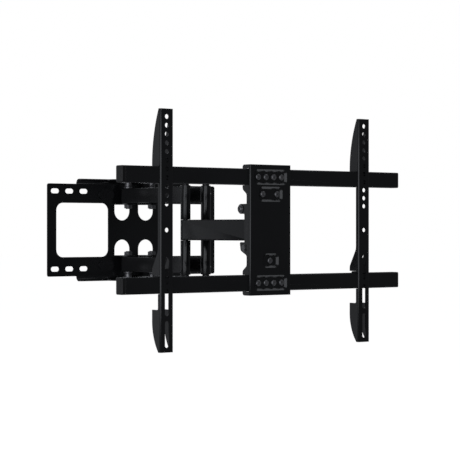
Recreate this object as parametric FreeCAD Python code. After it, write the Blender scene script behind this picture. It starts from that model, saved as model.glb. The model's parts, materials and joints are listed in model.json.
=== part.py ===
import FreeCAD, Part
import math
import os

# Full motion wall mount for a flat screen, stretched straight out, one STEP file per separate piece.
# Millimetres. The origin is the middle of the wall plate's back face, which lies on the wall at Y = 0.
# X runs along the rails, Z is up and the screen is on the -Y side. "Forward" means away from the wall.

# ---- Steel sheet and running fits
SHEET = 2.5
PANEL_SHEET = 2.0
RUNNING_GAP = 0.05      # radial clearance of a shaft that turns in a hole
BODY_GAP = 0.3          # between faces that slide past each other
SEAT_GAP = 0.02         # radial, round a sleeve or pin that stays put in its hole

# ---- Wall plate
PLATE_WIDTH = 412.0
PLATE_HEIGHT = 187.0
LIP_HALF_WIDTH = 138.0
LIP_TOP = 103.6
LIP_BEND = 10.5
LIP_DEPTH = 14.0
EAR_HALF_WIDTH = 58.0
EAR_DEPTH = 44.0
WINDOW_CENTRE_X = 124.0
WINDOW_WIDTH = 123.0
WINDOW_HEIGHT = 109.4
WALL_SLOT_CENTRE_X = 155.0
WALL_SLOT_PITCH = 33.4
WALL_SLOT_Z = 78.5
WALL_SLOT_LENGTH = 19.5
WALL_SLOT_WIDTH = 10.0
TAB_WIDTH = 37.5
TAB_LENGTH = 33.0
TAB_UNDERSIDE = 51.8
TAB_HOLE_ROUND_END = 19.8
RIB_Z = 72.0
RIB_HEIGHT = 17.5
RIB_X = (50.0, 86.0)
RIB_RISE = 3.0

# ---- Arms. All four wall pivots, both elbows and the head pivot turn about vertical axes.
PIVOT_X = 29.0
PIVOT_Y = -25.0
ELBOW_X = 24.4
ELBOW_Y = -223.8
ARM_LENGTH = math.hypot(PIVOT_X - ELBOW_X, PIVOT_Y - ELBOW_Y)
HEAD_Y = ELBOW_Y - math.sqrt(ARM_LENGTH ** 2 - ELBOW_X ** 2)
FOREARM_LEAN = math.degrees(math.asin(ELBOW_X / ARM_LENGTH))
ARM_UNDERSIDE = 54.8
ARM_TOP = 84.6
ARM_PIVOT_RADIUS = 14.5
ARM_ELBOW_RADIUS = 9.0
ARM_WALL = 2.5
BUSH_RADIUS = 7.0
PIVOT_PIN_RADIUS = 5.0
ELBOW_TUBE_RADIUS = 9.8
ELBOW_TUBE_Z = (20.4, 87.5)
ELBOW_CAP_RADIUS = 7.0
ELBOW_CAP_HEIGHT = 5.0
FOREARM_HEIGHT = 40.0
FOREARM_WIDTH = 20.0
FOREARM_BOX_STOP = 88.0     # the closed box ends this far short of the head pivot
FOREARM_WEB_STOP = 22.0     # and its outer wall ends this far short of it
KNUCKLE_RADIUS = 14.0
KNUCKLE_SPLIT = 10.0        # height where the outer knuckles meet the middle one
LOOSE_EYE_RADIUS = 10.6     # the middle knuckle's wide bore

# ---- Head. Distances named FRONT and BACK are forward of the head pivot's axis.
RAIL_FRONT = 37.4
RAIL_DEPTH = 20.0
RAIL_BACK = RAIL_FRONT - RAIL_DEPTH
RAIL_HEIGHT = 30.0
RAIL_Z = 97.5
RAIL_LENGTH = 645.0
RAIL_WALL = 2.0
RAIL_CORNER = 2.5
CAP_THICKNESS = 8.0
PANEL_FRONT = 42.4
PANEL_DEPTH = 23.0      # front face to the rear edge of its deepest flanges
PANEL_SLIM = 10.7       # the same, along the slim flanges
PANEL_WIDTH = 96.0
PANEL_HEIGHT = 240.5
PANEL_BACK = PANEL_FRONT - PANEL_SHEET
# pressed recesses of the panel: centre height, width, height, and where its bolts stand across it
RAIL_RECESS = (76.0, 28.0, (-27.0, -9.0, 9.0, 27.0))
UPPER_RECESS = (66.0, 55.0, 27.4, (-16.5, 16.5))
LOWER_RECESS = (-56.5, 37.0, 26.0, (0.0,))
RECESS_FLOOR = RAIL_FRONT + 1.6
RECESS_FLARE = 4.0 / (PANEL_FRONT - RECESS_FLOOR)   # how fast a recess widens towards the front
RAIL_BOLT_RADIUS = 3.0
BOLT_CLEARANCE = 0.2
TILT_FORWARD = 6.4
TILT_Z = 39.0
LOCK_FORWARD = 17.4
LOCK_Z = -33.0
TILT_RANGE = (-5.0, 10.0)
YOKE_CHEEK = (34.5, 37.5)
CRADLE_CHEEK = (39.0, 42.0)
LUG_RADIUS = 9.2        # round the tilt pivot
YOKE_WEB = (15.9, 18.9)
YOKE_TOP = TILT_Z + LUG_RADIUS
CRADLE_PLATE = (34.4, RAIL_FRONT)

# ---- VESA brackets
BRACKET_X = 230.0
BRACKET_WIDTH = 28.0
BRACKET_TOP = 214.0
BRACKET_BOTTOM = -216.0
BRACKET_FRONT = RAIL_FRONT + BODY_GAP + SHEET
BRACKET_DEPTH = 26.5
BRACKET_SLIM = 8.0
VESA_TOP_HOLE = 200.0
VESA_PITCH = 15.4
VESA_ROW_COUNT = 11
VESA_HOLE_RADIUS = 4.25
VESA_SLOT_CENTRES = (-72.2, -128.2, -184.2)
VESA_SLOT_LENGTH = 47.2


# ---- Shapes from an axis and an outline

def point_on(axis, u, v, along):
    """The point whose coordinate on the axis is along, and whose other two, in X, Y, Z order, are u and v."""
    if axis == "x":
        return FreeCAD.Vector(along, u, v)
    if axis == "y":
        return FreeCAD.Vector(u, along, v)
    return FreeCAD.Vector(u, v, along)


def rod(axis, centre, radius, start, end):
    """A round bar along the axis, between two values on it."""
    base = point_on(axis, centre[0], centre[1], min(start, end))
    return Part.makeCylinder(radius, abs(end - start), base, point_on(axis, 0, 0, 1))


def tube(axis, centre, outer, inner, start, end):
    return rod(axis, centre, outer, start, end).cut(rod(axis, centre, inner, start, end))


def block(x_span, y_span, z_span):
    spans = [sorted(span) for span in (x_span, y_span, z_span)]
    sizes = [high - low for low, high in spans]
    return Part.makeBox(*sizes, FreeCAD.Vector(*[low for low, high in spans]))


def rounded_corner(before, here, after, radius):
    """Where a corner's arc starts, its middle and where it ends; a sharp corner is one point."""
    if radius == 0:
        return here, None, here
    way_back = (before - here).normalize()
    way_on = (after - here).normalize()
    half_angle = way_back.getAngle(way_on) / 2
    reach = radius / math.tan(half_angle)
    inward = (way_back + way_on).normalize()
    middle = here + inward * (radius / math.sin(half_angle) - radius)
    return here + way_back * reach, middle, here + way_on * reach


def outline_face(axis, corners, along):
    """A flat face across the axis. A corner is (u, v, radius), or (u, v, 0, bulge) where the edge that
    leaves it is an arc, which stands off its chord by bulge, to the right of the way it runs."""
    flat = [FreeCAD.Vector(corner[0], corner[1], 0) for corner in corners]
    count = len(flat)
    rounds = [
        rounded_corner(flat[i - 1], flat[i], flat[(i + 1) % count], corners[i][2]) for i in range(count)
    ]

    def placed(point):
        return point_on(axis, point.x, point.y, along)

    edges = []
    for i, (start, middle, end) in enumerate(rounds):
        following = rounds[(i + 1) % count][0]
        if middle is not None:
            edges.append(Part.Arc(placed(start), placed(middle), placed(end)).toShape())
        if len(corners[i]) == 4:
            run = (following - end).normalize()
            crown = (end + following) * 0.5 + FreeCAD.Vector(run.y, -run.x, 0) * corners[i][3]
            edges.append(Part.Arc(placed(end), placed(crown), placed(following)).toShape())
        elif (following - end).Length > 1e-6:
            edges.append(Part.LineSegment(placed(end), placed(following)).toShape())
    return Part.Face(Part.Wire(edges))


def plate(axis, corners, start, end):
    """A flat piece with an outline, between two values on the axis."""
    return outline_face(axis, corners, start).extrude(point_on(axis, 0, 0, end - start))


def rectangle(centre, width, height, radius=0.0):
    u, v = centre
    return [(u + a * width / 2, v + b * height / 2, radius) for a, b in ((-1, -1), (1, -1), (1, 1), (-1, 1))]


def hexagon(centre, across_flats):
    reach = across_flats / math.sqrt(3)
    angles = [math.radians(60 * i) for i in range(6)]
    return [(centre[0] + reach * math.cos(a), centre[1] + reach * math.sin(a), 0) for a in angles]


def join(*pieces):
    return pieces[0].multiFuse(list(pieces[1:])).removeSplitter()


def carve(piece, *tools):
    return piece.cut(list(tools))


def group(pieces):
    """Identical loose pieces that share one node."""
    return Part.makeCompound(list(pieces))


def mirrored(piece, axis):
    return piece.mirror(FreeCAD.Vector(0, 0, 0), point_on(axis, 0, 0, 1))


def mirror_pair(piece, axis):
    return [piece, mirrored(piece, axis)]


def four_ways(piece):
    """The piece and its mirror images in X and Z."""
    return [image for half in mirror_pair(piece, "x") for image in mirror_pair(half, "z")]


def softened(piece, radius, wanted):
    """The piece with a round on every edge that the test picks."""
    return piece.makeFillet(radius, [edge for edge in piece.Edges if wanted(edge)])


def forward(distance):
    """The Y of a place that far forward of the head pivot."""
    return HEAD_Y - distance


def from_side(corners):
    """Corners given as (forward of the head pivot, height, ...), turned into (Y, Z, ...)."""
    return [(forward(corner[0]), *corner[1:]) for corner in corners]


def head_plate(corners, front_or_back, other):
    """A plate that faces the screen, between two distances forward of the head pivot."""
    return plate("y", corners, forward(front_or_back), forward(other))


# ---- Wall plate and its pivots

def folded_lip():
    """The top lip: shallow along its length, with a deep ear over the two pivots."""
    start = PLATE_HEIGHT / 2 - 5
    profile = [
        (0, start, 0),
        (0, LIP_TOP, LIP_BEND),
        (-EAR_DEPTH, LIP_TOP, 0),
        (-EAR_DEPTH, LIP_TOP - SHEET, 0),
        (-SHEET, LIP_TOP - SHEET, LIP_BEND - SHEET),
        (-SHEET, start, 0),
    ]
    fold = plate("x", profile, -LIP_HALF_WIDTH, LIP_HALF_WIDTH)
    shoulder = EAR_HALF_WIDTH + 12
    right = [
        (LIP_HALF_WIDTH, 1, 0),
        (LIP_HALF_WIDTH, -LIP_DEPTH, 5),
        (shoulder, -LIP_DEPTH, 8),
        (EAR_HALF_WIDTH, -EAR_DEPTH, 10),
    ]
    left = [(-x, y, radius) for x, y, radius in reversed(right)]
    return fold.common(plate("z", right + left, 0, LIP_TOP + 1))


def pivot_tab():
    """The tab folded forward out of the plate under the right-hand upper pivot."""
    reach = SHEET + TAB_LENGTH
    top = TAB_UNDERSIDE + SHEET
    profile = [
        (0, top + 8, 0),
        (0, TAB_UNDERSIDE, 4),
        (-reach, TAB_UNDERSIDE, 0),
        (-reach, top, 0),
        (-SHEET, top, 1.5),
        (-SHEET, top + 8, 0),
    ]
    low, high = PIVOT_X - TAB_WIDTH / 2, PIVOT_X + TAB_WIDTH / 2
    round_end = TAB_WIDTH / 2
    outline = [(low, 1, 0), (low, -reach, round_end), (high, -reach, round_end), (high, 1, 0)]
    return plate("x", profile, low, high).common(plate("z", outline, 0, top + 9))


def tab_hole():
    """The D-shaped hole that the tab was folded out of, cut up to the tab's bend."""
    low, high = PIVOT_X - TAB_WIDTH / 2, PIVOT_X + TAB_WIDTH / 2
    flat_edge = TAB_UNDERSIDE + 5
    round_end = TAB_WIDTH / 2
    corners = [
        (low, flat_edge, 0),
        (high, flat_edge, 0),
        (high, TAB_HOLE_ROUND_END, round_end),
        (low, TAB_HOLE_ROUND_END, round_end),
    ]
    return plate("y", corners, 1, -SHEET - 1)


def rib(height, back, front):
    """A stadium-shaped block over the pressed rib, with the given height."""
    trim = RIB_HEIGHT - height
    centre = ((RIB_X[0] + RIB_X[1]) / 2, RIB_Z)
    length = RIB_X[1] - RIB_X[0] - trim
    return plate("y", rectangle(centre, length, height, height / 2), back, front)


def wall_plate():
    sheet = plate("y", rectangle((0, 0), PLATE_WIDTH, PLATE_HEIGHT, 4), 0, -SHEET)
    holes = four_ways(tab_hole())
    window = rectangle((WINDOW_CENTRE_X, 0), WINDOW_WIDTH, WINDOW_HEIGHT, 15)
    holes += mirror_pair(plate("y", window, 1, -SHEET - 1), "x")
    for step in (-1, 0, 1):
        centre = (WALL_SLOT_CENTRE_X + step * WALL_SLOT_PITCH, WALL_SLOT_Z)
        slot = rectangle(centre, WALL_SLOT_LENGTH, WALL_SLOT_WIDTH, WALL_SLOT_WIDTH / 2)
        holes += four_ways(plate("y", slot, 1, -SHEET - 1))
    raised = four_ways(rib(RIB_HEIGHT, 0, -SHEET - RIB_RISE))
    dents = four_ways(rib(RIB_HEIGHT - 2 * SHEET, 1, -RIB_RISE))
    folds = mirror_pair(folded_lip(), "z") + four_ways(pivot_tab())
    bolt_hole = rod("z", (PIVOT_X, PIVOT_Y), PIVOT_PIN_RADIUS + BOLT_CLEARANCE, -LIP_TOP - 1, LIP_TOP + 1)
    pressed = join(carve(sheet, *holes), *folds, *raised)
    return carve(pressed, *dents, *mirror_pair(bolt_hole, "x"))


def hex_nut(axis, centre, across_flats, bore, start, end):
    """A nut with its corners turned off at both faces."""
    middle = (start + end) / 2
    height = abs(end - start)
    body = plate(axis, hexagon(centre, across_flats), start, end)
    cone_axis = point_on(axis, 0, 0, 1)
    reach = across_flats / math.sqrt(3) + height / 2 - 0.6
    cones = [
        Part.makeCone(
            reach, reach - height / 2, height / 2, point_on(axis, *centre, middle), cone_axis * sign
        )
        for sign in (1, -1)
    ]
    return carve(body.common(join(*cones)), rod(axis, centre, bore, start - 1, end + 1))


def wall_pivot_bolt():
    """The upper right bolt: a hexagon head on the ear, and a shank down through the arm and the tab."""
    centre = (PIVOT_X, PIVOT_Y)
    head = plate("z", hexagon(centre, 16), LIP_TOP, LIP_TOP + 6.4)
    crown = Part.makeCone(12.5, 6.5, 6.4, FreeCAD.Vector(*centre, LIP_TOP), FreeCAD.Vector(0, 0, 1))
    shank = rod("z", centre, PIVOT_PIN_RADIUS, TAB_UNDERSIDE - 8.5, LIP_TOP)
    return join(head.common(crown), shank)


def wall_pivot_nut():
    bore = PIVOT_PIN_RADIUS + SEAT_GAP
    return hex_nut("z", (PIVOT_X, PIVOT_Y), 16, bore, TAB_UNDERSIDE - 7.2, TAB_UNDERSIDE)


def wall_pivot_washer():
    base = ARM_TOP + BODY_GAP
    return tube("z", (PIVOT_X, PIVOT_Y), 9.5, PIVOT_PIN_RADIUS + SEAT_GAP, base, base + 3.5)


def wall_pivot_spacer():
    base = ARM_TOP + BODY_GAP + 3.5
    return tube("z", (PIVOT_X, PIVOT_Y), 7.5, PIVOT_PIN_RADIUS + SEAT_GAP, base, LIP_TOP - SHEET)


# ---- Arms and elbows, drawn on the right-hand side

def tapered_outline(start, start_radius, end, end_radius):
    """Corners of the straight-sided bar that touches two circles, and the circles' own centres."""
    run = FreeCAD.Vector(end[0] - start[0], end[1] - start[1], 0)
    slope = math.asin((start_radius - end_radius) / run.Length)
    ahead = run.normalize()
    across = FreeCAD.Vector(-ahead.y, ahead.x, 0)
    corners = []
    for centre, radius, side in ((start, start_radius, 1), (start, start_radius, -1),
                                 (end, end_radius, -1), (end, end_radius, 1)):
        reach = ahead * (radius * math.sin(slope)) + across * (side * radius * math.cos(slope))
        corners.append((centre[0] + reach.x, centre[1] + reach.y, 0))
    return corners


def tapered_bar(start_radius, end_radius, low, high):
    """A bar with round ends from the wall pivot to the elbow."""
    start, end = (PIVOT_X, PIVOT_Y), (ELBOW_X, ELBOW_Y)
    return join(
        plate("z", tapered_outline(start, start_radius, end, end_radius), low, high),
        rod("z", start, start_radius, low, high),
        rod("z", end, end_radius, low, high),
    )


def first_arm():
    """The upper right arm: a welded steel trough, open below, closed round both ends."""
    bar = tapered_bar(ARM_PIVOT_RADIUS, ARM_ELBOW_RADIUS, ARM_UNDERSIDE, ARM_TOP)
    bar = softened(bar, 1.5, lambda edge: abs(edge.CenterOfMass.z - ARM_TOP) < 1e-6)
    ceiling = ARM_TOP - ARM_WALL
    hollow = tapered_bar(
        ARM_PIVOT_RADIUS - ARM_WALL, ARM_ELBOW_RADIUS - ARM_WALL, ARM_UNDERSIDE - 1, ceiling
    )
    open_run = block(
        (0, 60), (PIVOT_Y - ARM_PIVOT_RADIUS - 3, ELBOW_Y + ELBOW_TUBE_RADIUS + 4), (ARM_UNDERSIDE - 1, ceiling)
    )
    elbow = rod("z", (ELBOW_X, ELBOW_Y), ELBOW_TUBE_RADIUS, 0, ARM_TOP + 1)
    bush_hole = rod("z", (PIVOT_X, PIVOT_Y), BUSH_RADIUS, ARM_UNDERSIDE - 1, ARM_TOP + 1)
    return carve(bar, hollow.common(open_run), elbow, bush_hole)


def arm_bush():
    outer = BUSH_RADIUS - SEAT_GAP
    return tube("z", (PIVOT_X, PIVOT_Y), outer, PIVOT_PIN_RADIUS + RUNNING_GAP, ARM_UNDERSIDE, ARM_TOP)


def elbow_tube():
    """The steel tube welded on the upper arm's end."""
    low, high = ELBOW_TUBE_Z
    return tube("z", (ELBOW_X, ELBOW_Y), ELBOW_TUBE_RADIUS, PIVOT_PIN_RADIUS + SEAT_GAP, low, high)


def elbow_pin():
    top = ELBOW_TUBE_Z[1]
    return rod("z", (ELBOW_X, ELBOW_Y), PIVOT_PIN_RADIUS, -top, top)


def elbow_cap():
    low = ELBOW_TUBE_Z[1]
    high = low + ELBOW_CAP_HEIGHT
    cap = rod("z", (ELBOW_X, ELBOW_Y), ELBOW_CAP_RADIUS, low, high)
    return softened(cap, 1.5, lambda edge: abs(edge.CenterOfMass.z - high) < 1e-6)


# ---- Forearms, drawn with the elbow at the origin and the head pivot at Y = -ARM_LENGTH

def forearm_shell(end):
    """The forearm's hollow box section, from inside the elbow boss to a distance from the elbow."""
    outer = rectangle((0, 0), FOREARM_WIDTH, FOREARM_HEIGHT, 3)
    inner = rectangle((0, 0), FOREARM_WIDTH - 2 * SHEET, FOREARM_HEIGHT - 2 * SHEET, 1)
    box = plate("y", outer, 0, -end)
    return carve(box, plate("y", inner, -ELBOW_TUBE_RADIUS - 2, -end - 1))


def elbow_boss():
    return rod("z", (0, 0), ELBOW_TUBE_RADIUS, -FOREARM_HEIGHT / 2, FOREARM_HEIGHT / 2)


def boss_trim():
    """What is cut at the elbow: the box's square end round the boss, and the bush's bore."""
    half = FOREARM_HEIGHT / 2
    around = block((-15, 15), (0, 15), (-half - 1, half + 1))
    bore = rod("z", (0, 0), BUSH_RADIUS, -half - 1, half + 1)
    return around.cut(elbow_boss()), bore


def forked_forearm():
    """The left forearm: past its box it keeps a strap above and below, each with a knuckle."""
    half = FOREARM_HEIGHT / 2
    inside = half - SHEET
    box_end = ARM_LENGTH - FOREARM_BOX_STOP
    web_end = ARM_LENGTH - FOREARM_WEB_STOP
    outer_face = -FOREARM_WIDTH / 2
    mouth = block((outer_face + SHEET, 11), (-box_end, -ARM_LENGTH - 1), (-inside, inside))
    web_gap = block((outer_face - 1, outer_face + SHEET), (-web_end, -ARM_LENGTH - 1), (-inside, inside))
    shell = carve(forearm_shell(ARM_LENGTH), mouth, web_gap)
    knuckle = rod("z", (0, -ARM_LENGTH), KNUCKLE_RADIUS, KNUCKLE_SPLIT, half)
    whole = join(shell, elbow_boss(), *mirror_pair(knuckle, "z"))
    pin_hole = rod("z", (0, -ARM_LENGTH), PIVOT_PIN_RADIUS + RUNNING_GAP, -half - 1, half + 1)
    return carve(whole, pin_hole, *boss_trim())


def tongued_forearm():
    """The right forearm: past its box it keeps its outer wall, and a tongue with the middle knuckle."""
    half = FOREARM_HEIGHT / 2
    inside = half - SHEET
    box_end = ARM_LENGTH - FOREARM_BOX_STOP
    web_end = ARM_LENGTH - FOREARM_WEB_STOP
    web_face = FOREARM_WIDTH / 2 - SHEET
    tongue_half = KNUCKLE_SPLIT - 0.5
    open_side = block((-11, web_face), (-box_end, -web_end - 1), (-half - 1, half + 1))
    shell = carve(forearm_shell(web_end), open_side)
    end_wall = block((-web_face, web_face), (-box_end + 4, -box_end), (-inside, inside))
    tongue = block((-5, 5), (-box_end + 4, -ARM_LENGTH), (-tongue_half, tongue_half))
    knuckle = rod("z", (0, -ARM_LENGTH), KNUCKLE_RADIUS, -tongue_half, tongue_half)
    whole = join(shell, elbow_boss(), end_wall, tongue, knuckle)
    eye = rod("z", (0, -ARM_LENGTH), LOOSE_EYE_RADIUS, -half, half)
    return carve(whole, eye, *boss_trim())


def elbow_bush():
    """The upper sleeve in the forearm's boss."""
    low, high = 3.0, FOREARM_HEIGHT / 2 + 0.1
    return tube("z", (0, 0), BUSH_RADIUS - SEAT_GAP, PIVOT_PIN_RADIUS + RUNNING_GAP, low, high)


def at_elbow(piece, side):
    """Turns a forearm piece to its lean and moves it to the left (-1) or right (+1) elbow."""
    turned = piece.copy()
    turned.rotate(FreeCAD.Vector(0, 0, 0), FreeCAD.Vector(0, 0, 1), -side * FOREARM_LEAN)
    turned.translate(FreeCAD.Vector(side * ELBOW_X, ELBOW_Y, 0))
    return turned


# ---- Head pivot and swivel yoke

def head_pivot_pin():
    """A hexagon head bolt, standing upright through the yoke and the knuckles."""
    centre = (0, HEAD_Y)
    head = plate("z", hexagon(centre, 16), 26.3, 32.3)
    crown = Part.makeCone(12.5, 6.5, 6.0, FreeCAD.Vector(0, HEAD_Y, 26.3), FreeCAD.Vector(0, 0, 1))
    return join(head.common(crown), rod("z", centre, PIVOT_PIN_RADIUS, -35, 26.3))


def head_pivot_washer():
    return tube("z", (0, HEAD_Y), 10, PIVOT_PIN_RADIUS + SEAT_GAP, 24.8, 26.3)


def head_pivot_nut():
    return hex_nut("z", (0, HEAD_Y), 16, PIVOT_PIN_RADIUS + SEAT_GAP, -33.8, -26.3)


def yoke_ear():
    """The upper ear, which reaches back from the web to the head pivot."""
    web_back = YOKE_WEB[0]
    shape = plate(
        "z",
        [
            (-KNUCKLE_RADIUS, HEAD_Y, 0),
            (-22, forward(web_back), 0),
            (22, forward(web_back), 0),
            (KNUCKLE_RADIUS, HEAD_Y, 0),
        ],
        20.5,
        24.5,
    )
    return join(shape, rod("z", (0, HEAD_Y), KNUCKLE_RADIUS, 20.5, 24.5))


def yoke_cheek():
    """The right side wall of the yoke: a round lug at the tilt pivot and a foot at the lock bolt."""
    web_front = YOKE_WEB[1]
    rear = LOCK_FORWARD - 6.4
    foot_front = LOCK_FORWARD + 5.2
    outline = [
        (web_front, YOKE_TOP, 0),
        (TILT_FORWARD - LUG_RADIUS, YOKE_TOP, LUG_RADIUS),
        (TILT_FORWARD - LUG_RADIUS, TILT_Z - LUG_RADIUS, LUG_RADIUS),
        (rear, TILT_Z - LUG_RADIUS, 2),
        (rear, LOCK_Z - 6, 5),
        (foot_front, LOCK_Z - 6, 4),
        (foot_front, -24, 1),
        (web_front, -21, 1),
    ]
    cheek = plate("x", from_side(outline), *YOKE_CHEEK)
    pivot_hole = rod("x", (forward(TILT_FORWARD), TILT_Z), 4.0 + SEAT_GAP, 30, 50)
    lock_hole = rod("x", (forward(LOCK_FORWARD), LOCK_Z), 3.0 + SEAT_GAP, 30, 50)
    return carve(cheek, pivot_hole, lock_hole)


def swivel_yoke():
    inner = YOKE_CHEEK[0] + 0.5
    web = block((-inner, inner), (forward(YOKE_WEB[0]), forward(YOKE_WEB[1])), (-26, YOKE_TOP))
    whole = join(web, *mirror_pair(yoke_ear(), "z"), *mirror_pair(yoke_cheek(), "x"))
    return carve(whole, rod("z", (0, HEAD_Y), PIVOT_PIN_RADIUS + RUNNING_GAP, -30, 30))


# ---- Tilt pivots and locks, drawn on the right-hand side

def tilt_pivot_bolt():
    """Goes through both cheeks, with a domed head on a round flange outside."""
    centre = (forward(TILT_FORWARD), TILT_Z)
    outside = CRADLE_CHEEK[1] + BODY_GAP
    tip = outside + 4.2
    dome = softened(rod("x", centre, 5.6, outside, tip), 2.0, lambda edge: abs(edge.CenterOfMass.x - tip) < 1e-6)
    flange = rod("x", centre, 7.8, outside, outside + 1.4)
    socket = plate("x", hexagon(centre, 5), outside + 2.0, tip + 1)
    return join(carve(dome, socket), flange, rod("x", centre, 4.0, YOKE_CHEEK[0] - 10.5, outside))


def tilt_pivot_nut():
    centre = (forward(TILT_FORWARD), TILT_Z)
    return hex_nut("x", centre, 13, 4.0 + SEAT_GAP, YOKE_CHEEK[0] - 6.8, YOKE_CHEEK[0])


def tilt_washer():
    centre = (forward(TILT_FORWARD), TILT_Z)
    return tube("x", centre, 9.0, 4.0 + SEAT_GAP, YOKE_CHEEK[1], CRADLE_CHEEK[0] - BODY_GAP)


def tilt_lock_bolt():
    """Stands in the yoke and passes through the cradle's arc slot, with a hexagon head outside."""
    centre = (forward(LOCK_FORWARD), LOCK_Z)
    outside = CRADLE_CHEEK[1] + BODY_GAP
    head = plate("x", hexagon(centre, 10), outside + 0.9, outside + 3.3)
    flange = rod("x", centre, 6.4, outside, outside + 0.9)
    return join(head, flange, rod("x", centre, 3.0, YOKE_CHEEK[0] - 7.5, outside))


def tilt_lock_nut():
    centre = (forward(LOCK_FORWARD), LOCK_Z)
    return hex_nut("x", centre, 10, 3.0 + SEAT_GAP, YOKE_CHEEK[0] - 5, YOKE_CHEEK[0])


# ---- Tilting cradle, panel and rails

def arc_slot(width):
    """The slot that the lock bolt runs in as the cradle tilts about its pivot."""
    run = FreeCAD.Vector(LOCK_FORWARD - TILT_FORWARD, TILT_Z - LOCK_Z, 0)
    radius = run.Length
    rest_angle = math.degrees(math.atan2(run.x, run.y))
    low = math.radians(rest_angle + TILT_RANGE[0] - 0.4)
    high = math.radians(rest_angle + TILT_RANGE[1] + 0.4)

    def place(reach, angle):
        along = TILT_FORWARD + reach * math.sin(angle)
        return point_on("x", forward(along), TILT_Z - reach * math.cos(angle), CRADLE_CHEEK[0] - 1)

    outer, inner = radius + width / 2, radius - width / 2
    middle = (low + high) / 2
    end_bulge = width / 2 / radius
    edges = [
        Part.Arc(place(outer, low), place(outer, middle), place(outer, high)),
        Part.Arc(place(outer, high), place(radius, high + end_bulge), place(inner, high)),
        Part.Arc(place(inner, high), place(inner, middle), place(inner, low)),
        Part.Arc(place(inner, low), place(radius, low - end_bulge), place(outer, low)),
    ]
    return Part.Face(Part.Wire([edge.toShape() for edge in edges])).extrude(FreeCAD.Vector(6, 0, 0))


def cradle_cheek():
    front = CRADLE_PLATE[1]
    outline = [
        (front, 78, 0),
        (27, 78, 4),
        (27, TILT_Z + LUG_RADIUS, 5),
        (TILT_FORWARD - LUG_RADIUS, TILT_Z + LUG_RADIUS, LUG_RADIUS),
        (TILT_FORWARD - LUG_RADIUS, TILT_Z - LUG_RADIUS, LUG_RADIUS),
        (22.4, TILT_Z - LUG_RADIUS, 5),
        (22.4, -22.5, 3),
        (3.0, -22.5, 2.5),
        (5.4, -38, 6),
        (24, -47, 6),
        (24, -68, 4),
        (front, -68, 0),
    ]
    cheek = plate("x", from_side(outline), *CRADLE_CHEEK)
    pivot_hole = rod("x", (forward(TILT_FORWARD), TILT_Z), 4.0 + RUNNING_GAP, 30, 50)
    return carve(cheek, pivot_hole, arc_slot(6.6))


def tilt_cradle():
    """A plate behind the panel with a window in the middle and a cheek on each side."""
    inner = CRADLE_CHEEK[0]
    back = head_plate(rectangle((0, 5), 2 * inner + 1, 146), *CRADLE_PLATE)
    window = head_plate(rectangle((0, -11.5), 2 * inner, 73), CRADLE_PLATE[0] - 1, CRADLE_PLATE[1] + 1)
    bolt_holes = [
        rod("y", (x, z), RAIL_BOLT_RADIUS + BOLT_CLEARANCE, forward(30), forward(40))
        for z, width, height, across in (UPPER_RECESS, LOWER_RECESS)
        for x in across
    ]
    return carve(join(carve(back, window), *mirror_pair(cradle_cheek(), "x")), *bolt_holes)


def panel_recesses():
    """Every pressed recess of the panel: centre height, width, height and its bolts across."""
    return [(RAIL_Z, *RAIL_RECESS), (-RAIL_Z, *RAIL_RECESS), UPPER_RECESS, LOWER_RECESS]


def recess_outline(recess, reach, thickness=0.0):
    """A recess's outline at a distance forward of the head pivot, grown by the thickness of its wall."""
    z, width, height, across = recess
    grown = thickness - RECESS_FLARE * (PANEL_FRONT - reach)
    corners = rectangle((0, z), width + 2 * grown, height + 2 * grown, 8.5 + grown)
    return outline_face("y", corners, forward(reach)).OuterWire


def recess_block(recess, floor, mouth, thickness=0.0):
    """The solid between a recess's outlines at its floor and at its mouth."""
    outlines = [recess_outline(recess, reach, thickness) for reach in (floor, mouth)]
    return Part.makeLoft(outlines, True, True)


def panel_flange_profile():
    """The panel seen from the side: slim flanges, with deeper hooks above and below each rail."""
    slim, deep = PANEL_FRONT - PANEL_SLIM, PANEL_FRONT - PANEL_DEPTH
    at_rail = RAIL_FRONT + BODY_GAP
    rail_top, rail_foot = RAIL_Z + RAIL_HEIGHT / 2 + BODY_GAP, RAIL_Z - RAIL_HEIGHT / 2 - BODY_GAP
    top = PANEL_HEIGHT / 2
    upper = [
        (PANEL_FRONT + 1, top, 0),
        (deep, top, 5),
        (deep, rail_top, 1.5),
        (at_rail, rail_top, 1),
        (at_rail, rail_foot, 1),
        (deep, rail_foot, 1.5),
        (deep, 75, 6),
        (slim, 66, 6),
    ]
    lower = [(reach, -z, radius) for reach, z, radius in reversed(upper)]
    return from_side(upper + lower)


def front_panel():
    half = PANEL_WIDTH / 2
    inner = half - PANEL_SHEET
    back_edge = forward(PANEL_FRONT - PANEL_DEPTH)
    front, back = forward(PANEL_FRONT), forward(PANEL_BACK)
    channel = [
        (-half, back_edge, 0),
        (-half, front, 3.5),
        (half, front, 3.5),
        (half, back_edge, 0),
        (inner, back_edge, 0),
        (inner, back, 1.5),
        (-inner, back, 1.5),
        (-inner, back_edge, 0),
    ]
    top = PANEL_HEIGHT / 2
    panel = plate("z", channel, -top, top)
    panel = panel.common(plate("x", panel_flange_profile(), -half - 1, half + 1))
    pads, pockets, holes = [], [], []
    sheet_reach = RECESS_FLARE * (RECESS_FLOOR - RAIL_FRONT)
    for recess in panel_recesses():
        pads.append(recess_block(recess, RAIL_FRONT, PANEL_BACK + 0.5, sheet_reach))
        pockets.append(recess_block(recess, RECESS_FLOOR, PANEL_FRONT + 1))
        for x in recess[3]:
            hole = RAIL_BOLT_RADIUS + BOLT_CLEARANCE
            holes.append(rod("y", (x, recess[0]), hole, forward(RAIL_FRONT - 1), forward(PANEL_FRONT)))
    return carve(join(panel, *pads), *pockets, *holes)


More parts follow.
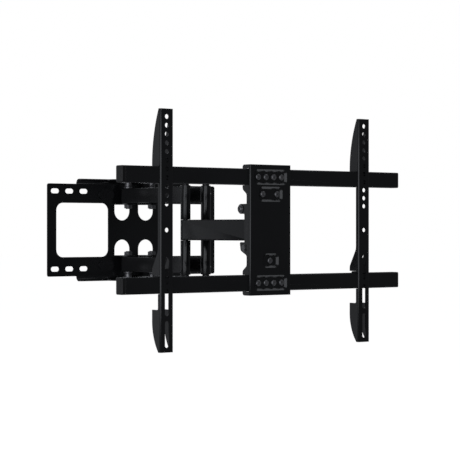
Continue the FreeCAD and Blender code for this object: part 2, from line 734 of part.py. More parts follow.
def button_bolt(x, z, tail):
    """A domed socket bolt in a recess, whose shank ends at a distance forward of the head pivot."""
    head_base, head_top = RECESS_FLOOR, RECESS_FLOOR + 3.0
    tip = forward(head_top)
    head = softened(
        rod("y", (x, z), 5.6, forward(head_base), tip), 1.8, lambda edge: abs(edge.CenterOfMass.y - tip) < 1e-6
    )
    socket = plate("y", hexagon((x, z), 4), forward(head_top - 1.5), forward(head_top + 1))
    shank = rod("y", (x, z), RAIL_BOLT_RADIUS, forward(tail), forward(head_base))
    return join(carve(head, socket), shank)


def rail_bolt_places():
    return [(x, z) for z in (RAIL_Z, -RAIL_Z) for x in RAIL_RECESS[2]]


def cradle_bolt_places():
    return [(x, z) for z, width, height, across in (UPPER_RECESS, LOWER_RECESS) for x in across]


def bolt_nut(x, z, front, height=5.0):
    """A nut on a bolt through the panel, with its seat at a distance forward of the head pivot."""
    return hex_nut("y", (x, z), 10, RAIL_BOLT_RADIUS + SEAT_GAP, forward(front), forward(front - height))


def rail():
    """The upper rail: a rectangular steel tube with four bolt holes through it."""
    half = RAIL_LENGTH / 2 - CAP_THICKNESS
    centre = (forward(RAIL_FRONT - RAIL_DEPTH / 2), RAIL_Z)
    outer = rectangle(centre, RAIL_DEPTH, RAIL_HEIGHT, RAIL_CORNER)
    inner = rectangle(centre, RAIL_DEPTH - 2 * RAIL_WALL, RAIL_HEIGHT - 2 * RAIL_WALL, 1)
    section = carve(plate("x", outer, -half, half), plate("x", inner, -half - 1, half + 1))
    holes = [
        rod("y", (x, RAIL_Z), RAIL_BOLT_RADIUS + BOLT_CLEARANCE, forward(RAIL_BACK - 1), forward(RAIL_FRONT + 1))
        for x in RAIL_RECESS[2]
    ]
    return carve(section, *holes)


def rail_end_cap():
    """The plastic cap on the upper rail's right end, with a plug inside the tube."""
    end = RAIL_LENGTH / 2
    centre = (forward(RAIL_FRONT - RAIL_DEPTH / 2), RAIL_Z)
    cover = plate("x", rectangle(centre, RAIL_DEPTH, RAIL_HEIGHT, RAIL_CORNER), end - CAP_THICKNESS, end)
    cover = softened(cover, 2.0, lambda edge: abs(edge.CenterOfMass.x - end) < 1e-6)
    slack = 0.1
    plug = rectangle(
        centre, RAIL_DEPTH - 2 * RAIL_WALL - slack, RAIL_HEIGHT - 2 * RAIL_WALL - slack, 1
    )
    return join(cover, plate("x", plug, end - CAP_THICKNESS - 12, end - CAP_THICKNESS))


# ---- VESA brackets, drawn on the right-hand side

def bracket_flange_profile():
    """The bracket seen from the side: curved top and bottom, cut away where the rails pass."""
    front = BRACKET_FRONT
    deep = front - BRACKET_DEPTH
    slim = front - BRACKET_SLIM
    at_rail = RAIL_FRONT + BODY_GAP
    upper_seat = RAIL_Z + RAIL_HEIGHT / 2 + BODY_GAP
    upper_foot = RAIL_Z - RAIL_HEIGHT / 2 - BODY_GAP
    lower_seat = -upper_foot + 3
    lower_foot = -upper_seat
    return from_side([
        (front + 1, BRACKET_TOP, 0),
        (front - 6, BRACKET_TOP, 0, -5.3),
        (deep, 115, 0),
        (deep, upper_seat, 0),
        (at_rail, upper_seat, 1),
        (at_rail, upper_foot, 1),
        (slim, upper_foot, 2),
        (slim, -37, 20),
        (deep, -70, 12),
        (deep, lower_seat, 1),
        (at_rail, lower_seat, 1),
        (at_rail, lower_foot, 1),
        (slim, lower_foot, 2),
        (slim, -141, 3),
        (deep, -141, 0.5),
        (deep, -163, 0, -4.7),
        (front - 7, BRACKET_BOTTOM, 0),
        (front + 1, BRACKET_BOTTOM, 0),
    ])


def vesa_bracket():
    half = BRACKET_WIDTH / 2
    low, high = BRACKET_X - half, BRACKET_X + half
    front, back = forward(BRACKET_FRONT), forward(BRACKET_FRONT - SHEET)
    back_edge = forward(BRACKET_FRONT - BRACKET_DEPTH)
    channel = [
        (low, back_edge, 0),
        (low, front, 3.5),
        (high, front, 3.5),
        (high, back_edge, 0),
        (high - SHEET, back_edge, 0),
        (high - SHEET, back, 1),
        (low + SHEET, back, 1),
        (low + SHEET, back_edge, 0),
    ]
    steel = plate("z", channel, BRACKET_BOTTOM, BRACKET_TOP)
    steel = steel.common(plate("x", bracket_flange_profile(), low - 1, high + 1))
    heights = [VESA_TOP_HOLE - VESA_PITCH * i for i in range(VESA_ROW_COUNT)] + [0.0]
    holes = [rod("y", (BRACKET_X, z), VESA_HOLE_RADIUS, back + 1, front - 1) for z in heights]
    for z in VESA_SLOT_CENTRES:
        slot = rectangle((BRACKET_X, z), 2 * VESA_HOLE_RADIUS, VESA_SLOT_LENGTH, VESA_HOLE_RADIUS)
        holes.append(plate("y", slot, back + 1, front - 1))
    return carve(steel, *holes)


def bracket_hook(rail_z, drop):
    """A strap inside the bracket that lies over a rail and drops down behind it."""
    half = BRACKET_WIDTH / 2 - SHEET - 1.1
    seat = rail_z + RAIL_HEIGHT / 2 + BODY_GAP
    back = RAIL_BACK - BODY_GAP
    front = BRACKET_FRONT - SHEET
    outline = [
        (front, seat, 0),
        (front, seat + 14, 1),
        (front - SHEET, seat + 14, 1),
        (front - SHEET, seat + SHEET, 1.5),
        (back - SHEET, seat + SHEET, 3),
        (back - SHEET, seat - drop, 1),
        (back, seat - drop, 1),
        (back, seat, 0.5),
    ]
    strap = plate("x", from_side(outline), BRACKET_X - half, BRACKET_X + half)
    return carve(strap, rod("y", (BRACKET_X, seat - drop / 2), 2.5 + SEAT_GAP, forward(0), forward(back + 1)))


def bracket_hooks():
    return [bracket_hook(RAIL_Z, 20), bracket_hook(-RAIL_Z, 20)]


def bracket_lock_screws():
    """A screw through each hook, with its tip just short of the rail's back face and a knurled head."""
    screws = []
    for rail_z in (RAIL_Z, -RAIL_Z):
        z = rail_z + RAIL_HEIGHT / 2 + BODY_GAP - 10
        back = RAIL_BACK - BODY_GAP - SHEET
        shank = rod("y", (BRACKET_X, z), 2.5, forward(back - 2), forward(RAIL_BACK - BODY_GAP))
        rim = forward(back - 8)
        head = softened(
            rod("y", (BRACKET_X, z), 6.0, forward(back - 2), rim), 1.2,
            lambda edge: abs(edge.CenterOfMass.y - rim) < 1e-6,
        )
        screws.append(join(head, shank))
    return screws


# ---- Every node of the mount

def all_nodes():
    nodes = {
        "wall_plate": wall_plate(),
        "wall_pivot_bolts": group(four_ways(wall_pivot_bolt())),
        "wall_pivot_nuts": group(four_ways(wall_pivot_nut())),
        "wall_pivot_washers": group(four_ways(wall_pivot_washer())),
        "wall_pivot_spacers": group(four_ways(wall_pivot_spacer())),
        "head_pivot_pin": head_pivot_pin(),
        "head_pivot_washers": group(mirror_pair(head_pivot_washer(), "z")),
        "head_pivot_nut": head_pivot_nut(),
        "swivel_yoke": swivel_yoke(),
        "tilt_pivot_bolts": group(mirror_pair(tilt_pivot_bolt(), "x")),
        "tilt_pivot_nuts": group(mirror_pair(tilt_pivot_nut(), "x")),
        "tilt_washers": group(mirror_pair(tilt_washer(), "x")),
        "tilt_lock_bolts": group(mirror_pair(tilt_lock_bolt(), "x")),
        "tilt_lock_nuts": group(mirror_pair(tilt_lock_nut(), "x")),
        "tilt_cradle": tilt_cradle(),
        "front_panel": front_panel(),
        "rail_upper": rail(),
        "rail_lower": mirrored(rail(), "z"),
        "rail_end_caps": group(four_ways(rail_end_cap())),
        "rail_bolts": group(button_bolt(x, z, RAIL_BACK - 6) for x, z in rail_bolt_places()),
        "rail_nuts": group(bolt_nut(x, z, RAIL_BACK) for x, z in rail_bolt_places()),
        "cradle_bolts": group(button_bolt(x, z, CRADLE_PLATE[0] - 6) for x, z in cradle_bolt_places()),
        "cradle_nuts": group(bolt_nut(x, z, CRADLE_PLATE[0]) for x, z in cradle_bolt_places()),
        "forearm_left": at_elbow(forked_forearm(), -1),
        "forearm_right": at_elbow(tongued_forearm(), 1),
    }
    bushes = group(mirror_pair(elbow_bush(), "z"))
    for name, side in (("left", -1), ("right", 1)):
        nodes["elbow_bushes_" + name] = at_elbow(bushes, side)
    sided = {
        "upper_arm": first_arm(),
        "lower_arm": mirrored(first_arm(), "z"),
        "arm_bushes": group(mirror_pair(arm_bush(), "z")),
        "elbow_tubes": group(mirror_pair(elbow_tube(), "z")),
        "elbow_pin": elbow_pin(),
        "elbow_caps": group(mirror_pair(elbow_cap(), "z")),
        "vesa_bracket": vesa_bracket(),
        "bracket_hooks": group(bracket_hooks()),
        "bracket_lock_screws": group(bracket_lock_screws()),
    }
    for name, shape in sided.items():
        nodes[name + "_right"] = shape
        nodes[name + "_left"] = mirrored(shape, "x")
    return nodes


def main():
    os.makedirs("parts", exist_ok=True)
    for name, shape in all_nodes().items():
        if not shape.isValid():
            raise ValueError(name + " is not a valid solid")
        shape.exportStep(os.path.join("parts", name + ".step"))
        print(name, len(shape.Solids), round(shape.Volume))


main()
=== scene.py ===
import json
import math

import bmesh
import bpy
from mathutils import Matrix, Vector


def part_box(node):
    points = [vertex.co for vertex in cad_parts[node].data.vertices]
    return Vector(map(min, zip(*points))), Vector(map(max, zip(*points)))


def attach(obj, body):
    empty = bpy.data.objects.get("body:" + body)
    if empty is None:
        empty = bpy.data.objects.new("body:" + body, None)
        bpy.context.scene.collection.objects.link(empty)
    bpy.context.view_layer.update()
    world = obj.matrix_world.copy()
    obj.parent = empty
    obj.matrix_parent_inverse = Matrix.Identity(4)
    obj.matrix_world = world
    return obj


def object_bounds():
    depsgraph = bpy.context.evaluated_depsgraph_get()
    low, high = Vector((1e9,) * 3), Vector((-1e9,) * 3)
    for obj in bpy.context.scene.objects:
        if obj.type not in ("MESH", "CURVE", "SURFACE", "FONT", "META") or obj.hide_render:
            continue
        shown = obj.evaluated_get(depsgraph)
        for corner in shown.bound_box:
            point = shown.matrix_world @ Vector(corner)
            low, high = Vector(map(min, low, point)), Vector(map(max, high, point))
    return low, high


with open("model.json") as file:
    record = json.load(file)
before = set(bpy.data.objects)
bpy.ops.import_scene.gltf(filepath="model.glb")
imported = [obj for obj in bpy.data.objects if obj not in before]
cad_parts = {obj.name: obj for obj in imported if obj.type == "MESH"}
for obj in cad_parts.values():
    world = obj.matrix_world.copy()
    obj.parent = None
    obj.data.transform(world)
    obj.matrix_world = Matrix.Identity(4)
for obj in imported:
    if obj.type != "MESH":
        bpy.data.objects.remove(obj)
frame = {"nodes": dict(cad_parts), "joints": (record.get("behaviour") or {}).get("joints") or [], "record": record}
cad_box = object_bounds()

# Metres. The mount hangs on its wall plate. X runs along the rails, Z is up, the screen faces -Y.

# ---- Camera, level with the mount's middle and to the left of its front
CAMERA_AZIMUTH = math.radians(-36.5)
CAMERA_TARGET = Vector((0.0, -0.337, 0.0))
CAMERA_DISTANCE = 3.095
CAMERA_LENS = 127.0
SENSOR_WIDTH = 36.0

# ---- Studio: name, azimuth, elevation, distance, width, height, watts
LIGHT_TARGET = Vector((0.0, -0.25, 0.0))
LIGHTS = (
    ("key_left", -50, 4, 2.4, 3.2, 2.6, 35.0),
    ("soft_left_rear", -140, 8, 2.8, 1.8, 2.4, 4.0),
    ("high_right", 76, 52, 2.4, 1.5, 1.5, 6.5),
    ("low_right", 76, -52, 2.4, 1.5, 1.5, 6.5),
    ("soft_top", -20, 82, 2.6, 2.4, 1.6, 4.0),
    ("soft_rear", 170, 10, 3.0, 2.6, 2.2, 14.0),
)
WORLD_LIGHT = 0.10
COOL_WHITE = (0.91, 0.94, 1.0)
FLOOR_DROP = 0.42
FLOOR_SIZE = 60.0

# ---- Steelwork details
MERGE_DISTANCE = 1e-6
EDGE_BREAK = 0.00025        # width that deburring leaves on a cut edge
EDGE_ANGLE = 50.0           # degrees; gentler bends are left alone
BEAD_RADIUS = 0.0013
SLIM_BEAD_RADIUS = 0.0011
BEAD_RIPPLE = 0.0016        # spacing of the ripples that a weld bead shows
BEAD_SIDES = 12
BEAD_LIFT = 0.0002          # from the welded face to the bead's middle
ARC_STEPS = 16              # in half of the bead over an arm's end
ARM_END_HALF_WIDTH = 0.0091
ARM_EDGE_ROUND = 0.0016
ARM_BEAD_INSET = 0.001      # from the arm's open edge to the bead's start
FOREARM_SEAM_HALF = 0.0099
FOREARM_CORNER = 0.0035     # kept clear at the top and bottom of the forearm's flanks
YOKE_SEAM_HALF = 0.0205
YOKE_SEAM_FORWARD = 0.0156  # of the head pivot
YOKE_SEAM_Z = 0.0247

# ---- Threads and knurls
THREAD_SIDES = 20
THREAD_DEPTH = 0.0004
THREAD_START = (0.0, -0.25)     # along, in pitches, and rise, in depths
THREAD_RIDGE = ((0.10, 0.0), (0.45, 1.0), (0.60, 1.0), (0.95, 0.0))
THREAD_TIP = (0.15, -2.2)       # the chamfer, past the last ridge
KNURL_TEETH = 28
KNURL_DEPTH = 0.00035
KNURL_SINK = 0.0001             # of the grooves, below the screw head's own surface
KNURL_PROFILE = ((-0.0052, 0.0), (-0.0046, 1.0), (-0.0022, 1.0), (-0.0016, 0.0))

# name, bolts, nuts, axis, shank radius, pitch, body
THREADS = (
    ("wall_pivot_threads", "wall_pivot_bolts", "wall_pivot_nuts", 2, 0.005, 0.0013, "wall_bracket"),
    ("head_pivot_threads", "head_pivot_pin", "head_pivot_nut", 2, 0.005, 0.0012, "head_pin"),
    ("tilt_pivot_threads", "tilt_pivot_bolts", "tilt_pivot_nuts", 0, 0.004, 0.00125, "swivel_head"),
    ("tilt_lock_threads", "tilt_lock_bolts", "tilt_lock_nuts", 0, 0.003, 0.001, "swivel_head"),
    ("rail_bolt_threads", "rail_bolts", "rail_nuts", 1, 0.003, 0.001, "tilt_head"),
    ("cradle_bolt_threads", "cradle_bolts", "cradle_nuts", 1, 0.003, 0.001, "tilt_head"),
)


# ---- Node materials, all in object space

def add(tree, kind, **settings):
    """A new node; settings are its properties, and inputs go in a dict of socket name to value."""
    node = tree.nodes.new(kind)
    inputs = settings.pop("inputs", {})
    for name, value in settings.items():
        setattr(node, name, value)
    for name, value in inputs.items():
        node.inputs[name].default_value = value
    return node


def noise(tree, place, scale, detail=3.0, roughness=0.5):
    settings = {"Scale": scale, "Detail": detail, "Roughness": roughness}
    node = add(tree, "ShaderNodeTexNoise", inputs=settings)
    tree.links.new(place, node.inputs["Vector"])
    return node.outputs["Fac"]


def spread(tree, value, low, high, to_low, to_high):
    """Maps low..high of a value onto to_low..to_high, held at the ends."""
    node = add(tree, "ShaderNodeMapRange")
    for name, number in (("From Min", low), ("From Max", high), ("To Min", to_low), ("To Max", to_high)):
        node.inputs[name].default_value = number
    tree.links.new(value, node.inputs["Value"])
    return node.outputs["Result"]


def combine(tree, operation, first, second):
    """Math on two values, either of which may be a number."""
    node = add(tree, "ShaderNodeMath", operation=operation)
    for socket, value in zip(node.inputs, (first, second)):
        if isinstance(value, (int, float)):
            socket.default_value = value
        else:
            tree.links.new(value, socket)
    return node.outputs["Value"]


def mix_colour(tree, amount, first, second):
    """From the first colour at 0 to the second at 1; each is a colour or a socket."""
    node = add(tree, "ShaderNodeMix", data_type="RGBA")
    tree.links.new(amount, node.inputs["Factor"])
    for socket, value in ((node.inputs[6], first), (node.inputs[7], second)):
        if isinstance(value, tuple):
            socket.default_value = (*value, 1.0)
        else:
            tree.links.new(value, socket)
    return node.outputs[2]


def edge_mask(tree, place, radius, patch_scale):
    """1 on outside and inside edges, broken up by noise, and 0 on open faces."""
    rounded = add(tree, "ShaderNodeBevel", samples=4, inputs={"Radius": radius})
    plain = add(tree, "ShaderNodeNewGeometry")
    dot = add(tree, "ShaderNodeVectorMath", operation="DOT_PRODUCT")
    tree.links.new(rounded.outputs["Normal"], dot.inputs[0])
    tree.links.new(plain.outputs["Normal"], dot.inputs[1])
    edge = spread(tree, dot.outputs["Value"], 0.985, 0.80, 0.0, 1.0)
    patches = spread(tree, noise(tree, place, patch_scale, 4.0), 0.36, 0.66, 0.25, 1.0)
    return combine(tree, "MULTIPLY", edge, patches)


def bump(tree, height, strength, distance, under=None):
    node = add(tree, "ShaderNodeBump", inputs={"Strength": strength, "Distance": distance})
    tree.links.new(height, node.inputs["Height"])
    if under is not None:
        tree.links.new(under, node.inputs["Normal"])
    return node.outputs["Normal"]


def new_finish(name, metallic, specular):
    material = bpy.data.materials.new(name)
    material.use_nodes = True
    shader = material.node_tree.nodes["Principled BSDF"]
    shader.inputs["Metallic"].default_value = metallic
    shader.inputs["Specular IOR Level"].default_value = specular
    place = add(material.node_tree, "ShaderNodeTexCoord").outputs["Object"]
    return material, material.node_tree, shader, place


def connect(tree, shader, colour, roughness, normal):
    tree.links.new(colour, shader.inputs["Base Color"])
    tree.links.new(roughness, shader.inputs["Roughness"])
    tree.links.new(normal, shader.inputs["Normal"])


def powder_coat():
    """Satin black powder coat: fine orange peel, faint handling marks, thin and shinier on the edges."""
    material, tree, shader, place = new_finish("black powder coat", 0.0, 0.5)
    clouds = noise(tree, place, 9.0, 4.0)
    peel = noise(tree, place, 1100.0, 2.0, 0.6)
    grain = noise(tree, place, 3800.0, 1.0)
    worn = edge_mask(tree, place, 0.0007, 160.0)
    cloudiness = spread(tree, clouds, 0.35, 0.65, 0.0, 1.0)
    cloudy = mix_colour(tree, cloudiness, (0.0036, 0.0038, 0.0042), (0.0058, 0.0060, 0.0066))
    speckled = mix_colour(tree, spread(tree, grain, 0.60, 0.72, 0.0, 0.5), cloudy, (0.013, 0.013, 0.014))
    colour = mix_colour(tree, worn, speckled, (0.030, 0.030, 0.033))
    handled = spread(tree, clouds, 0.3, 0.7, 0.18, 0.24)
    satin = combine(tree, "ADD", handled, spread(tree, peel, 0.3, 0.7, -0.03, 0.03))
    rough = combine(tree, "SUBTRACT", satin, combine(tree, "MULTIPLY", worn, 0.07))
    normal = bump(tree, grain, 0.10, 0.00005, bump(tree, peel, 0.22, 0.00012))
    connect(tree, shader, colour, rough, normal)
    return material


def black_oxide():
    """Blackened steel fasteners: a dark metal with fine turning marks, rubbed bright on its corners."""
    material, tree, shader, place = new_finish("black oxide steel", 0.75, 0.5)
    stretched = add(tree, "ShaderNodeMapping", inputs={"Scale": (1.0, 1.0, 7.0)})
    tree.links.new(place, stretched.inputs["Vector"])
    turning = noise(tree, stretched.outputs["Vector"], 420.0, 3.0)
    blotches = noise(tree, place, 130.0, 4.0)
    rubbed = edge_mask(tree, place, 0.0006, 500.0)
    blotchiness = spread(tree, blotches, 0.35, 0.65, 0.0, 1.0)
    oxide = mix_colour(tree, blotchiness, (0.140, 0.140, 0.146), (0.200, 0.198, 0.201))
    colour = mix_colour(tree, rubbed, oxide, (0.32, 0.315, 0.31))
    dulled = spread(tree, blotches, 0.3, 0.7, 0.22, 0.33)
    rough = combine(tree, "ADD", dulled, spread(tree, turning, 0.3, 0.7, -0.05, 0.05))
    connect(tree, shader, colour, rough, bump(tree, turning, 0.18, 0.00008))
    return material


def turned_steel():
    """Bare turned steel: bright, with rings round the upright axis and a little oil staining."""
    material, tree, shader, place = new_finish("turned steel", 1.0, 0.5)
    rings = add(tree, "ShaderNodeTexWave", wave_type="BANDS", bands_direction="Z",
                inputs={"Scale": 900.0, "Distortion": 0.6, "Detail": 1.0})
    tree.links.new(place, rings.inputs["Vector"])
    stains = noise(tree, place, 70.0, 5.0)
    stained = spread(tree, stains, 0.4, 0.7, 0.0, 1.0)
    colour = mix_colour(tree, stained, (0.46, 0.46, 0.47), (0.27, 0.25, 0.23))
    dulled = spread(tree, stains, 0.3, 0.7, 0.20, 0.34)
    rough = combine(tree, "ADD", dulled, combine(tree, "MULTIPLY", rings.outputs["Fac"], 0.05))
    connect(tree, shader, colour, rough, bump(tree, rings.outputs["Fac"], 0.12, 0.00005))
    return material


def moulded_plastic():
    """Spark-eroded black polypropylene: an even fine grain, duller than the steel's coat."""
    material, tree, shader, place = new_finish("moulded cap plastic", 0.0, 0.42)
    cell_settings = {"Scale": 1500.0, "Smoothness": 0.6}
    cells = add(tree, "ShaderNodeTexVoronoi", feature="SMOOTH_F1", inputs=cell_settings)
    tree.links.new(place, cells.inputs["Vector"])
    flow = noise(tree, place, 28.0, 3.0)
    scuffed = edge_mask(tree, place, 0.0008, 260.0)
    flowing = spread(tree, flow, 0.35, 0.65, 0.0, 1.0)
    base = mix_colour(tree, flowing, (0.0032, 0.0032, 0.0033), (0.0052, 0.0051, 0.0051))
    colour = mix_colour(tree, scuffed, base, (0.032, 0.031, 0.030))
    dulled = spread(tree, flow, 0.3, 0.7, 0.38, 0.46)
    rough = combine(tree, "ADD", dulled, spread(tree, cells.outputs["Distance"], 0.0, 0.6, 0.03, -0.03))
    connect(tree, shader, colour, rough, bump(tree, cells.outputs["Distance"], 0.22, 0.00012))
    return material


def turned_nylon():
    """Black nylon bushes and washers: dull, and faintly ringed by the lathe."""
    material, tree, shader, place = new_finish("bush nylon", 0.0, 0.35)
    rings = add(tree, "ShaderNodeTexWave", wave_type="RINGS", rings_direction="Z",
                inputs={"Scale": 320.0, "Distortion": 1.2, "Detail": 1.0})
    tree.links.new(place, rings.inputs["Vector"])
    mottle = noise(tree, place, 240.0, 3.0)
    mottled = spread(tree, mottle, 0.35, 0.65, 0.0, 1.0)
    colour = mix_colour(tree, mottled, (0.012, 0.012, 0.0125), (0.022, 0.022, 0.022))
    dulled = spread(tree, mottle, 0.3, 0.7, 0.48, 0.60)
    rough = combine(tree, "SUBTRACT", dulled, combine(tree, "MULTIPLY", rings.outputs["Fac"], 0.08))
    connect(tree, shader, colour, rough, bump(tree, rings.outputs["Fac"], 0.10, 0.00006))
    return material


finishes = {
    "black_coat": powder_coat(),
    "dark_fastener": black_oxide(),
    "plain_steel": turned_steel(),
    "cap_plastic": moulded_plastic(),
    "bush_plastic": turned_nylon(),
}


# ---- Carried CAD nodes: finish, and the small radius that deburring leaves on every cut edge

def finish_cad_nodes():
    slots = {part["node"]: part["material_slot"] for part in frame["record"]["subparts"]}
    for name, node in frame["nodes"].items():
        for held in node.material_slots:
            held.material = finishes[slots[name]]
        merge = node.modifiers.new("merge", "WELD")
        merge.merge_threshold = MERGE_DISTANCE
        edges = node.modifiers.new("edge break", "BEVEL")
        edges.width = EDGE_BREAK
        edges.segments = 2
        edges.limit_method = "ANGLE"
        edges.angle_limit = math.radians(EDGE_ANGLE)
        edges.use_clamp_overlap = True
        edges.harden_normals = True


# ---- Measures taken from the frame

def loose_boxes(node_name):
    """The corner pair of each separate solid in a CAD node."""
    mesh = bmesh.new()
    mesh.from_mesh(frame["nodes"][node_name].data)
    bmesh.ops.remove_doubles(mesh, verts=mesh.verts, dist=MERGE_DISTANCE)
    waiting = set(mesh.verts)
    found = []
    while waiting:
        frontier = [waiting.pop()]
        solid = []
        while frontier:
            vertex = frontier.pop()
            solid.append(vertex.co.copy())
            for edge in vertex.link_edges:
                other = edge.other_vert(vertex)
                if other in waiting:
                    waiting.remove(other)
                    frontier.append(other)
        low = Vector([min(point[i] for point in solid) for i in range(3)])
        high = Vector([max(point[i] for point in solid) for i in range(3)])
        found.append((low, high))
    mesh.free()
    return sorted(found, key=lambda pair: tuple(pair[0]))


def joint_place(name):
    for joint in frame["joints"]:
        if joint["name"] == name:
            return Vector(joint["pos_m"])
    raise KeyError(name)


# ---- New pieces

def keep_mesh(mesh, name, finish, body):
    """Turns a bmesh into an object that rides on a body."""
    bmesh.ops.recalc_face_normals(mesh, faces=mesh.faces)
    data = bpy.data.meshes.new(name)
    mesh.to_mesh(data)
    mesh.free()
    for polygon in data.polygons:
        polygon.use_smooth = True
    data.materials.append(finishes[finish])
    piece = bpy.data.objects.new(name, data)
    bpy.context.scene.collection.objects.link(piece)
    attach(piece, body)


def skin(mesh, rings):
    """A closed skin through rings of points, with one face over each end."""
    made = [[mesh.verts.new(point) for point in ring] for ring in rings]
    count = len(made[0])
    for lower, upper in zip(made, made[1:]):
        for i in range(count):
            j = (i + 1) % count
            mesh.faces.new((lower[i], lower[j], upper[j], upper[i]))
    mesh.faces.new(list(reversed(made[0])))
    mesh.faces.new(made[-1])


def ring_about(centre, across, other, reaches):
    """Points evenly spread round a centre, from across towards other, each at its own distance."""
    points = []
    for k, reach in enumerate(reaches):
        angle = 2 * math.pi * k / len(reaches)
        points.append(centre + across * (reach * math.cos(angle)) + other * (reach * math.sin(angle)))
    return points


def resampled(path, step):
    """Points at an even spacing along a path."""
    points = [path[0].copy()]
    for start, end in zip(path, path[1:]):
        pieces = max(1, round((end - start).length / step))
        for i in range(1, pieces + 1):
            points.append(start.lerp(end, i / pieces))
    return points


def weld_bead(mesh, path, radius=BEAD_RADIUS):
    """A rippled bead along a path, rounded off at both ends."""
    points = resampled(path, BEAD_RIPPLE / 4)
    travelled = 0.0
    total = sum((b - a).length for a, b in zip(points, points[1:]))
    rings = []
    for i, point in enumerate(points):
        if i:
            travelled += (point - points[i - 1]).length
        before, after = points[max(i - 1, 0)], points[min(i + 1, len(points) - 1)]
        along = (after - before).normalized()
        side_on = Vector((1, 0, 0)) if abs(along.z) > 0.9 else Vector((0, 0, 1))
        across = along.cross(side_on).normalized()
        other = along.cross(across)
        ripple = 0.86 + 0.14 * abs(math.sin(math.pi * travelled / BEAD_RIPPLE))
        from_end = min(travelled, total - travelled) / radius
        taper = math.sqrt(max(0.08, 1 - (1 - min(from_end, 1)) ** 2))
        rings.append(ring_about(point, across, other, [radius * ripple * taper] * BEAD_SIDES))
    skin(mesh, rings)


def arm_beads(side):
    """Each arm's end is welded to its elbow tube, up both flanks and over the top."""
    elbow = joint_place("elbow_" + side)
    ahead = (elbow - joint_place("arm_fold_" + side)).normalized()
    across = Vector((-ahead.y, ahead.x, 0))
    tube_low, tube_high = loose_boxes("elbow_tubes_" + side)[-1]
    radius = (tube_high.x - tube_low.x) / 2
    spread_angle = math.asin(ARM_END_HALF_WIDTH / radius)
    reach = radius + BEAD_LIFT
    mesh = bmesh.new()
    for arm, outward in (("upper_arm_", 1), ("lower_arm_", -1)):
        low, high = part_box(arm + side)
        inner, outer = (low[2], high[2]) if outward > 0 else (high[2], low[2])
        flank_start = inner + outward * ARM_BEAD_INSET
        flank_end = outer - outward * ARM_EDGE_ROUND
        over = []
        for k in range(-ARC_STEPS, ARC_STEPS + 1):
            angle = spread_angle * k / ARC_STEPS
            foot = elbow - ahead * (reach * math.cos(angle)) + across * (reach * math.sin(angle))
            over.append(foot + Vector((0, 0, outer)))
        weld_bead(mesh, over)
        for seam in (over[0], over[-1]):
            weld_bead(mesh, [Vector((seam.x, seam.y, z)) for z in (flank_start, flank_end)])
    keep_mesh(mesh, "arm_weld_beads_" + side, "black_coat", "arms_" + side)


def forearm_beads(side):
    """The forearm's flanks are welded to the boss that turns on the elbow pin."""
    elbow = joint_place("elbow_" + side)
    ahead = (joint_place("swivel") - elbow).normalized()
    across = Vector((-ahead.y, ahead.x, 0))
    low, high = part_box("forearm_" + side)
    reach = (high[2] - low[2]) / 2 - FOREARM_CORNER
    mesh = bmesh.new()
    for half in (-FOREARM_SEAM_HALF, FOREARM_SEAM_HALF):
        foot = elbow + across * half - ahead * BEAD_LIFT
        seam = [foot + Vector((0, 0, z)) for z in (-reach, reach)]
        weld_bead(mesh, seam, SLIM_BEAD_RADIUS)
    keep_mesh(mesh, "forearm_weld_beads_" + side, "black_coat", "forearm_" + side)


def yoke_beads():
    """The yoke's two ears are welded to its web, above and below."""
    seam_y = joint_place("swivel").y - YOKE_SEAM_FORWARD
    mesh = bmesh.new()
    for z in (-YOKE_SEAM_Z, YOKE_SEAM_Z):
        weld_bead(mesh, [Vector((x, seam_y, z)) for x in (-YOKE_SEAM_HALF, YOKE_SEAM_HALF)])
    keep_mesh(mesh, "yoke_weld_beads", "black_coat", "swivel_head")


def thread_end(mesh, axis, centre, radius, start, end, pitch):
    """Ridges round a bolt's bare end, from a nut's face to the bolt's tip, which is chamfered."""
    across, other = [Vector([float(j == i) for j in range(3)]) for i in range(3) if i != axis]
    length = end - start
    count = max(2, round(abs(length) / pitch))
    step = length / count
    profile = [THREAD_START]
    for k in range(count):
        profile += [(k + along, rise) for along, rise in THREAD_RIDGE]
    profile.append((count + THREAD_TIP[0], THREAD_TIP[1]))
    rings = []
    for along, rise in profile:
        middle = centre.copy()
        middle[axis] = start + along * step
        reach = radius + rise * THREAD_DEPTH
        rings.append(ring_about(middle, across, other, [reach] * THREAD_SIDES))
    skin(mesh, rings)


def bolt_threads(name, bolts, nuts, axis, radius, pitch, body):
    """Threads on the part of each bolt that stands out past its nut."""
    mesh = bmesh.new()
    bolt_list = loose_boxes(bolts)
    for nut_low, nut_high in loose_boxes(nuts):
        centre = (nut_low + nut_high) / 2
        low, high = min(bolt_list, key=lambda pair: ((pair[0] + pair[1]) / 2 - centre).length)
        if centre[axis] - low[axis] < high[axis] - centre[axis]:
            thread_end(mesh, axis, centre, radius, nut_low[axis], low[axis], pitch)
        else:
            thread_end(mesh, axis, centre, radius, nut_high[axis], high[axis], pitch)
    keep_mesh(mesh, name, "dark_fastener", body)


def knurled_rings(side):
    """Fine teeth round the head of each screw that locks a bracket on the rails."""
    mesh = bmesh.new()
    for low, high in loose_boxes("bracket_lock_screws_" + side):
        centre = (low + high) / 2
        groove = (high.x - low.x) / 2 - KNURL_SINK
        rings = []
        for along, rise in KNURL_PROFILE:
            middle = Vector((centre.x, high.y + along, centre.z))
            reaches = [groove, groove + rise * KNURL_DEPTH] * KNURL_TEETH
            rings.append(ring_about(middle, Vector((1, 0, 0)), Vector((0, 0, 1)), reaches))
        skin(mesh, rings)
    keep_mesh(mesh, "lock_screw_knurls_" + side, "dark_fastener", "bracket_" + side)


def add_pieces():
    for side in ("left", "right"):
        arm_beads(side)
        forearm_beads(side)
        knurled_rings(side)
    yoke_beads()
    for row in THREADS:
        bolt_threads(*row)


# ---- Studio

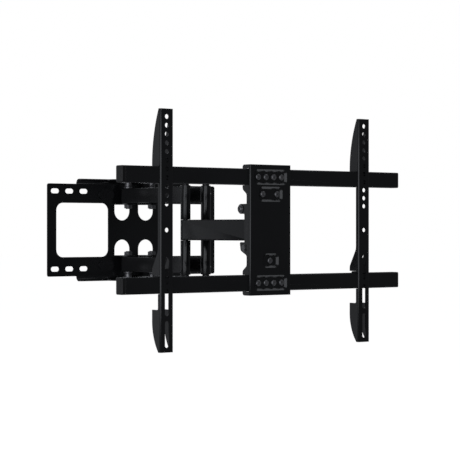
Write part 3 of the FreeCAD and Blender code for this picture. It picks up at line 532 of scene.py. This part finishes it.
def direction(azimuth, elevation):
    """A unit vector from the mount; the angles are in radians, and azimuth 0 is in front."""
    level = math.cos(elevation)
    return Vector((math.sin(azimuth) * level, -math.cos(azimuth) * level, math.sin(elevation)))


def aim(thing, place, target):
    thing.location = place
    thing.rotation_euler = (target - place).to_track_quat("-Z", "Y").to_euler()


def add_lights():
    for name, azimuth, elevation, distance, width, height, watts in LIGHTS:
        lamp = bpy.data.lights.new(name, "AREA")
        lamp.shape = "RECTANGLE"
        lamp.size = width
        lamp.size_y = height
        lamp.energy = watts
        lamp.color = COOL_WHITE
        light = bpy.data.objects.new(name, lamp)
        bpy.context.scene.collection.objects.link(light)
        way = direction(math.radians(azimuth), math.radians(elevation))
        aim(light, LIGHT_TARGET + way * distance, LIGHT_TARGET)
        light.visible_camera = False


def white_background():
    """The backdrop is white to the camera and dim to the steel, so that black stays black."""
    world = bpy.data.worlds.new("studio")
    bpy.context.scene.world = world
    world.use_nodes = True
    tree = world.node_tree
    seen = tree.nodes["Background"]
    seen.inputs["Color"].default_value = (1, 1, 1, 1)
    dimness = {"Color": (*COOL_WHITE, 1), "Strength": WORLD_LIGHT}
    dim = add(tree, "ShaderNodeBackground", inputs=dimness)
    rays = add(tree, "ShaderNodeLightPath")
    choose = add(tree, "ShaderNodeMixShader")
    tree.links.new(rays.outputs["Is Camera Ray"], choose.inputs["Fac"])
    tree.links.new(dim.outputs["Background"], choose.inputs[1])
    tree.links.new(seen.outputs["Background"], choose.inputs[2])
    tree.links.new(choose.outputs["Shader"], tree.nodes["World Output"].inputs["Surface"])


def floor():
    """A floor so pale that it meets the backdrop without a line. It lights and shades nothing."""
    mesh = bmesh.new()
    bmesh.ops.create_grid(mesh, x_segments=4, y_segments=4, size=FLOOR_SIZE / 2)
    data = bpy.data.meshes.new("floor")
    mesh.to_mesh(data)
    mesh.free()
    material = bpy.data.materials.new("pale floor")
    material.use_nodes = True
    shader = material.node_tree.nodes["Principled BSDF"]
    shader.inputs["Base Color"].default_value = (0.85, 0.85, 0.85, 1)
    shader.inputs["Roughness"].default_value = 0.9
    shader.inputs["Emission Color"].default_value = (1, 1, 1, 1)
    shader.inputs["Emission Strength"].default_value = 0.92
    data.materials.append(material)
    piece = bpy.data.objects.new("floor", data)
    piece.location = (0, 0, cad_box[0][2] - FLOOR_DROP)
    bpy.context.scene.collection.objects.link(piece)
    piece.visible_diffuse = False
    piece.visible_glossy = False
    piece.visible_shadow = False


def add_camera():
    data = bpy.data.cameras.new("camera")
    data.lens = CAMERA_LENS
    data.sensor_width = SENSOR_WIDTH
    data.clip_end = 100.0
    camera = bpy.data.objects.new("camera", data)
    bpy.context.scene.collection.objects.link(camera)
    aim(camera, CAMERA_TARGET + direction(CAMERA_AZIMUTH, 0.0) * CAMERA_DISTANCE, CAMERA_TARGET)
    bpy.context.scene.camera = camera


finish_cad_nodes()
add_pieces()
add_lights()
white_background()
floor()
add_camera()
bpy.context.scene.view_settings.view_transform = "Standard"

bpy.context.view_layer.update()
